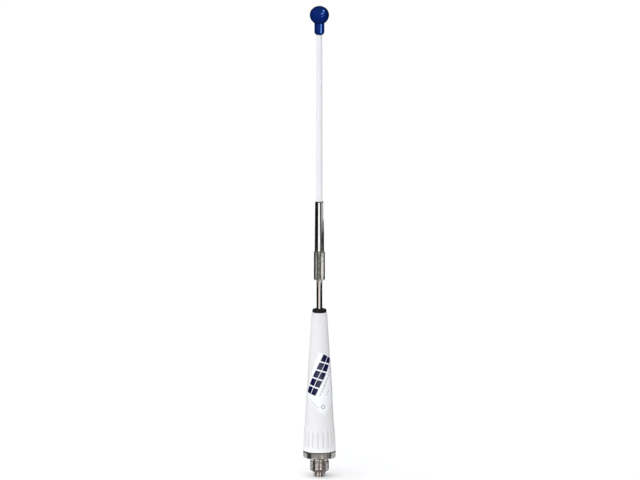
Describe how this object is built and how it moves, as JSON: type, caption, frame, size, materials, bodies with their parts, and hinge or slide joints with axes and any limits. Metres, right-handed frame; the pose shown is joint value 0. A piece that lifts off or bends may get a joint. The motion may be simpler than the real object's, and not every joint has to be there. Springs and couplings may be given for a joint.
{
  "type": "omnidirectional antenna",
  "caption": "Upright whip antenna with a white ribbed base cone, knurled screw coupling, fibreglass whip and blue ball tip, on a threaded stub with a coaxial connector.",
  "frame": {"origin": "on the antenna's axis, at the underside of the base fitting's flange, where it seats on its mount", "axes": "+Z along the axis, up towards the ball tip; the label's lower corner is 20 degrees to the +X side of -Y"},
  "size_m": [0.0438, 0.0438, 0.6391],
  "materials": {
    "chromed_brass": "polished chrome over brass, slightly warm",
    "stainless_steel": "turned and polished",
    "knurled_steel": "diamond knurl",
    "brass": "turned",
    "copper": "bare drawn copper wire",
    "tinned_steel": "tinned",
    "white_nylon": "moulded nylon, satin",
    "white_gelcoat": "white coated fibreglass",
    "black_rubber": "moulded rubber",
    "blue_plastic": "glossy moulded vinyl",
    "label_film": "glossy printed film",
    "white_dielectric": "machined fluoropolymer",
    "former_plastic": "glass fibre rod",
    "capacitor_glaze": "dipped ceramic disc"
  },
  "bodies": {
    "base": {"base_fitting": "chromed_brass", "base_gasket": "black_rubber", "connector_shell": "chromed_brass", "connector_insulator": "white_dielectric", "connector_contact": "brass", "cone_cover": "white_nylon", "cone_label": "label_film", "seal_grommet": "black_rubber", "mast_rod": "stainless_steel", "coupling_seal": "black_rubber", "mast_socket": "brass", "socket_set_screw_1": "stainless_steel", "socket_set_screw_2": "stainless_steel", "coil_former": "former_plastic", "former_pin_upper": "tinned_steel", "former_pin_lower": "tinned_steel", "loading_coil": "copper", "feed_wire": "copper", "matching_capacitor": "capacitor_glaze", "ground_lug": "tinned_steel", "ground_screw": "tinned_steel"},
    "upper_section": {"whip_ferrule": "stainless_steel", "whip_contact": "brass", "whip_conductor": "copper", "fibreglass_whip": "white_gelcoat", "tip_cap": "blue_plastic"},
    "coupling_nut": {"coupling_nut": "knurled_steel", "retaining_clip": "stainless_steel"}
  },
  "joints": [
    {"name": "upper_section_lift", "type": "slide", "parent": "base", "child": "upper_section", "axis": [0, 0, 1], "range_m": [0, 0.012]},
    {"name": "coupling_turn", "type": "hinge", "parent": "upper_section", "child": "coupling_nut", "pos_m": [0, 0, 0.2424], "axis": [0, 0, 1], "range_deg": [0, 4320]}
  ],
  "couplings": [
    {"joint": "coupling_turn", "follows": "upper_section_lift", "rad_per_m": 6283.2}
  ]
}
